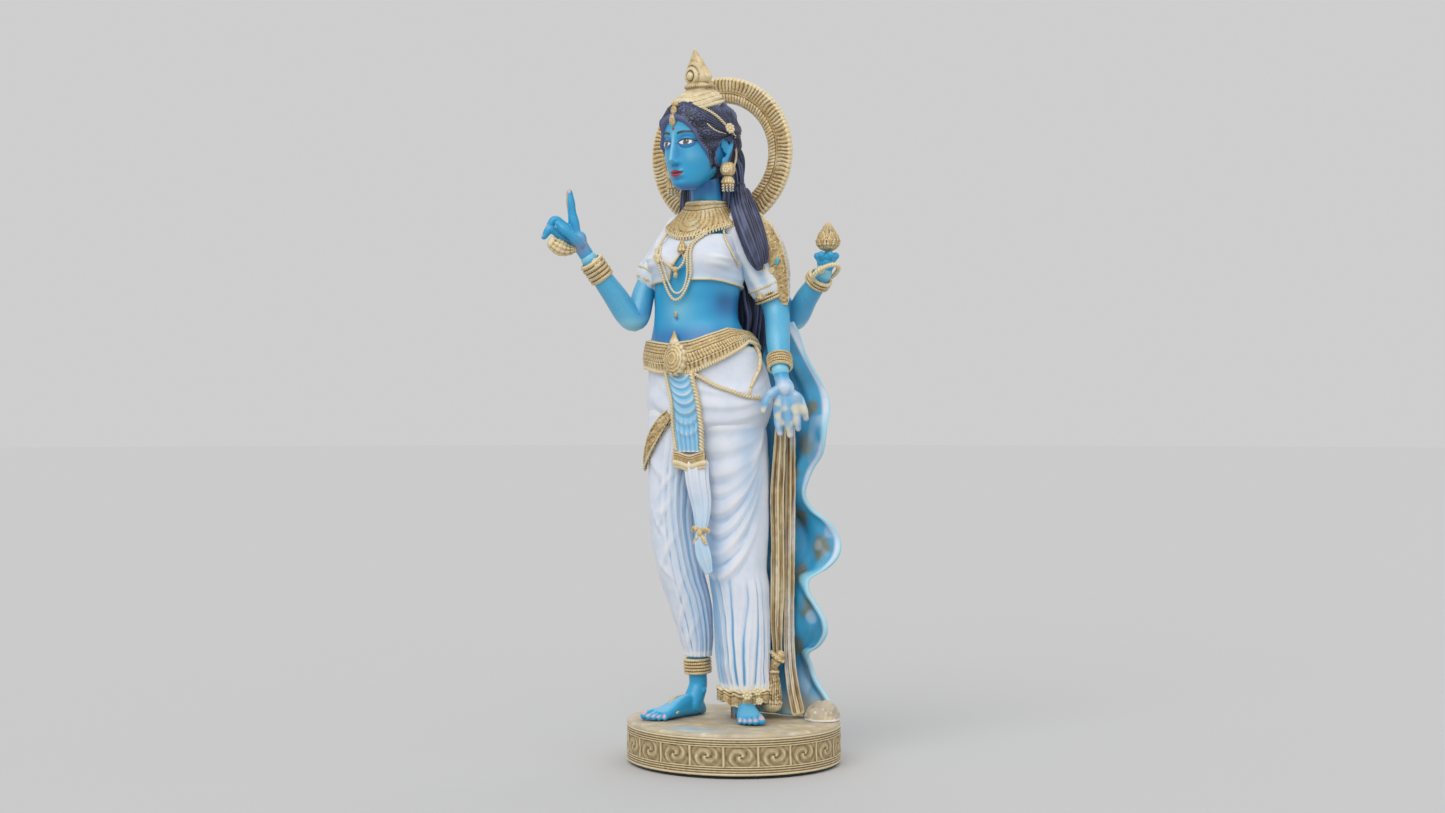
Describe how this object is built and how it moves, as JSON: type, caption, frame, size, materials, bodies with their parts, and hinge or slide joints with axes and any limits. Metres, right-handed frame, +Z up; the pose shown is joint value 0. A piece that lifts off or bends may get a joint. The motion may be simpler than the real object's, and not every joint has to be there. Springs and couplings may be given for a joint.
{
  "type": "hindu deity statue",
  "caption": "Painted resin figurine of a standing blue-skinned goddess with a halo, draped and jewelled, raised and lowered hands, long shawl, on an oval plinth.",
  "frame": {"origin": "centre of the felt underside of the oval plinth", "axes": "+Z up, -Y the way the figure faces, +X to the figure's own left"},
  "size_m": [0.2317, 0.172, 0.6015],
  "materials": {
    "skin_blue": "satin hand-painted blue resin with darker blue shading",
    "cloth_white": "matt white paint with blue shading in the folds",
    "cloth_blue": "matt blue and white paint with olive and gold rubbing",
    "gold_paint": "matt antique gold paint with a brown wash",
    "hair_black": "matt blue-black paint with grey-violet highlights",
    "plinth_gold": "matt old-gold paint over relief",
    "ground_stone": "matt worn beige and gold paint",
    "felt_black": "glued felt",
    "steel": "plain zinc-plated steel"
  },
  "bodies": {
    "figure": {"anklet_right": "gold_paint", "arm_left_front": "skin_blue", "arm_left_rear": "skin_blue", "arm_right": "skin_blue", "armature_rod": "steel", "armlet_left": "gold_paint", "armlet_right": "gold_paint", "bangle_left_rear": "gold_paint", "bangles_left_front": "gold_paint", "bangles_right": "gold_paint", "base_felt": "felt_black", "bead_strand_long": "gold_paint", "bead_strand_short": "gold_paint", "belt": "gold_paint", "belt_buckle": "gold_paint", "blouse": "cloth_white", "cape": "gold_paint", "centre_sash": "cloth_blue", "collar_necklace": "gold_paint", "crown": "gold_paint", "crown_finial": "gold_paint", "earring_left": "gold_paint", "earring_right": "gold_paint", "foot_left": "skin_blue", "foot_right": "skin_blue", "forehead_jewel": "gold_paint", "ground": "ground_stone", "hair_back": "hair_black", "hair_cap": "hair_black", "hand_left_front": "skin_blue", "hand_left_rear": "skin_blue", "hand_right": "skin_blue", "head": "skin_blue", "hem_left": "gold_paint", "lower_body": "cloth_white", "lower_sash": "cloth_white", "neck_dowel": "steel", "pendant": "gold_paint", "plinth": "plinth_gold", "rod_nut": "steel", "rod_washer": "steel", "sash_fringe": "gold_paint", "sash_knot": "gold_paint", "shawl": "cloth_blue", "shell_cup": "gold_paint", "shoulder_dowel_left": "steel", "shoulder_dowel_rear": "steel", "shoulder_dowel_right": "steel", "side_lock": "hair_black", "sleeve_left": "cloth_white", "sleeve_right": "cloth_white", "stole_front": "gold_paint", "stole_rear": "gold_paint", "thigh_border": "gold_paint", "torso": "skin_blue", "waist_dowel": "steel"},
    "halo_ring": {"halo": "gold_paint"},
    "lotus": {"lotus_bud": "gold_paint"}
  },
  "joints": [
    {"name": "halo_lift", "type": "slide", "parent": "figure", "child": "halo_ring", "axis": [0, 0, 1], "range_m": [0, 0.03]},
    {"name": "lotus_lift", "type": "slide", "parent": "figure", "child": "lotus", "axis": [0, 0, 1], "range_m": [0, 0.02]}
  ]
}
